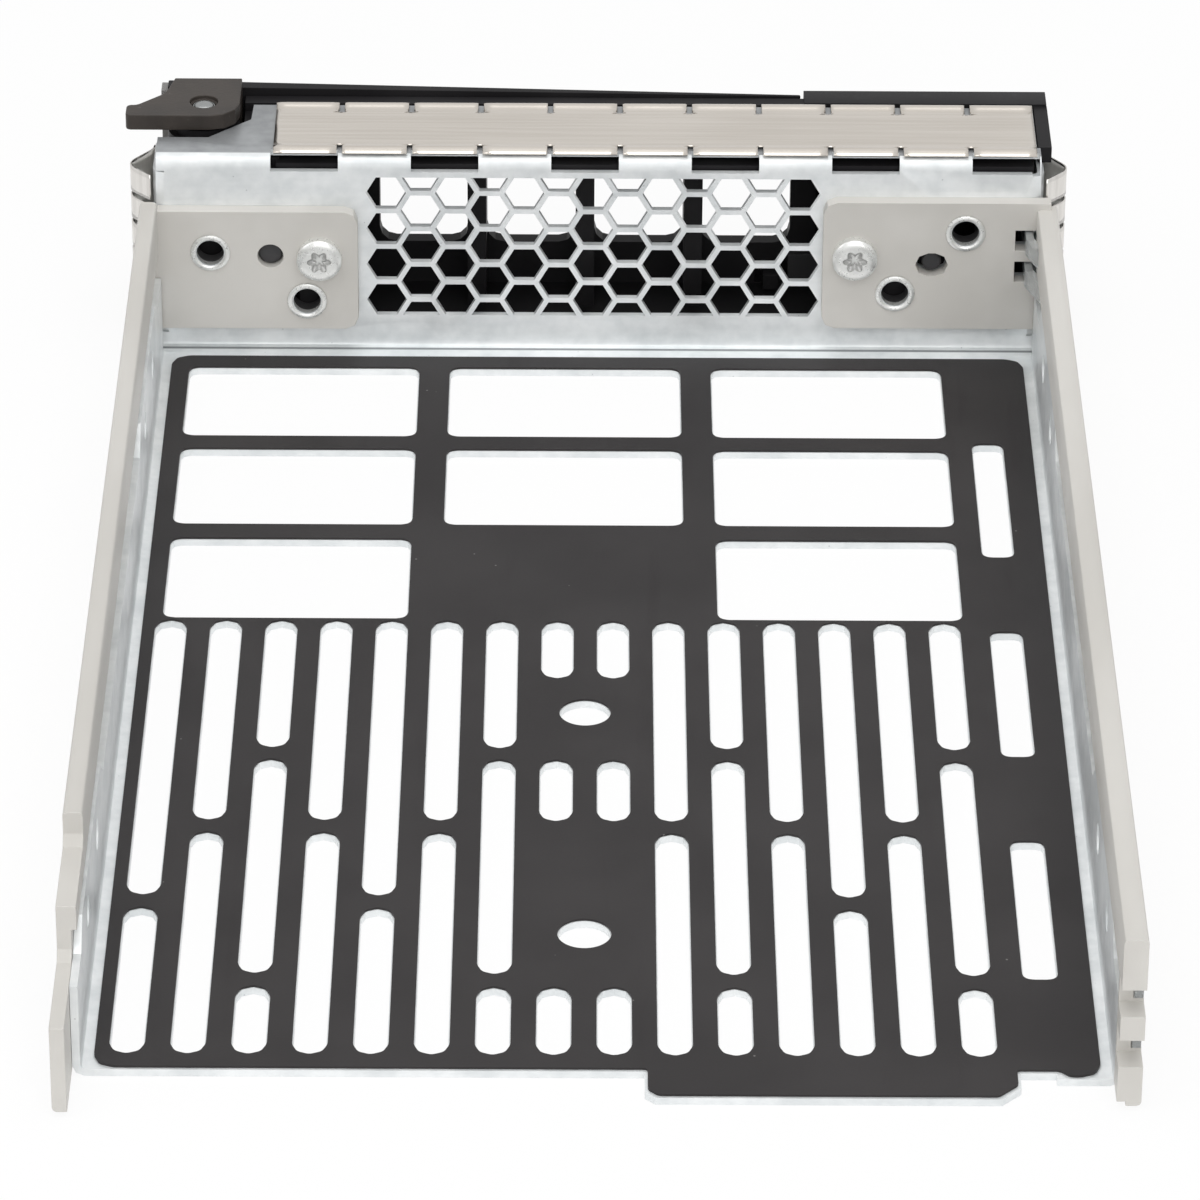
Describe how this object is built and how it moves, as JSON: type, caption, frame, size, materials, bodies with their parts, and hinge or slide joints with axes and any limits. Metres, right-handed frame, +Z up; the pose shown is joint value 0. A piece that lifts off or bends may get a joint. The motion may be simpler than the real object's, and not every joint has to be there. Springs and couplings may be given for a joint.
{
  "type": "hot swap drive caddy",
  "caption": "Hot swap caddy for a 3.5-inch drive: perforated steel tray between plastic rails, with honeycomb front wall, spring finger gaskets, swinging lever and release button.",
  "frame": {"origin": "underside of the tray floor on its centre plane, in the plain band between the floor's windows and its slots", "axes": "+Y towards the bezel, +Z up, +X to the right seen from the open rear"},
  "size_m": [0.1101, 0.1793, 0.0276],
  "materials": {
    "zinc_steel": "zinc plated sheet, satin",
    "insulating_film": "thin dark film, satin",
    "rail_plastic": "moulded warm grey plastic",
    "plated_screw": "bright plated steel",
    "spring_steel": "bright rolled stainless strip",
    "clear_pipe": "clear moulded plastic",
    "bezel_plastic": "black moulded plastic",
    "cam_casting": "dark brown-grey satin",
    "fascia_plastic": "mid grey satin trim",
    "button_plastic": "dark grey moulded plastic"
  },
  "bodies": {
    "carrier": {"tray_pan": "zinc_steel", "floor_insulator": "insulating_film", "left_rail": "rail_plastic", "right_rail": "rail_plastic", "left_pad_screw": "plated_screw", "right_pad_screw": "plated_screw", "top_gasket": "spring_steel", "left_side_gasket": "spring_steel", "right_side_gasket": "spring_steel", "lower_light_pipe": "clear_pipe", "upper_light_pipe": "clear_pipe", "bezel_frame": "bezel_plastic", "lever_pin": "plated_screw", "button_spring": "spring_steel"},
    "lever": {"lever_cam": "cam_casting", "lever_handle": "bezel_plastic", "lever_fascia": "fascia_plastic", "lever_screws": "plated_screw", "lever_spring": "spring_steel"},
    "button": {"release_button": "button_plastic"}
  },
  "joints": [
    {"name": "lever_swing", "type": "hinge", "parent": "carrier", "child": "lever", "pos_m": [-0.0462, 0.0699, 0.0138], "axis": [0, 0, 1], "range_deg": [0, 55]},
    {"name": "button_press", "type": "slide", "parent": "carrier", "child": "button", "axis": [0, -1, 0], "range_m": [0, 0.002], "stiffness_N_per_m": 400, "deforming": ["button_spring"]}
  ]
}
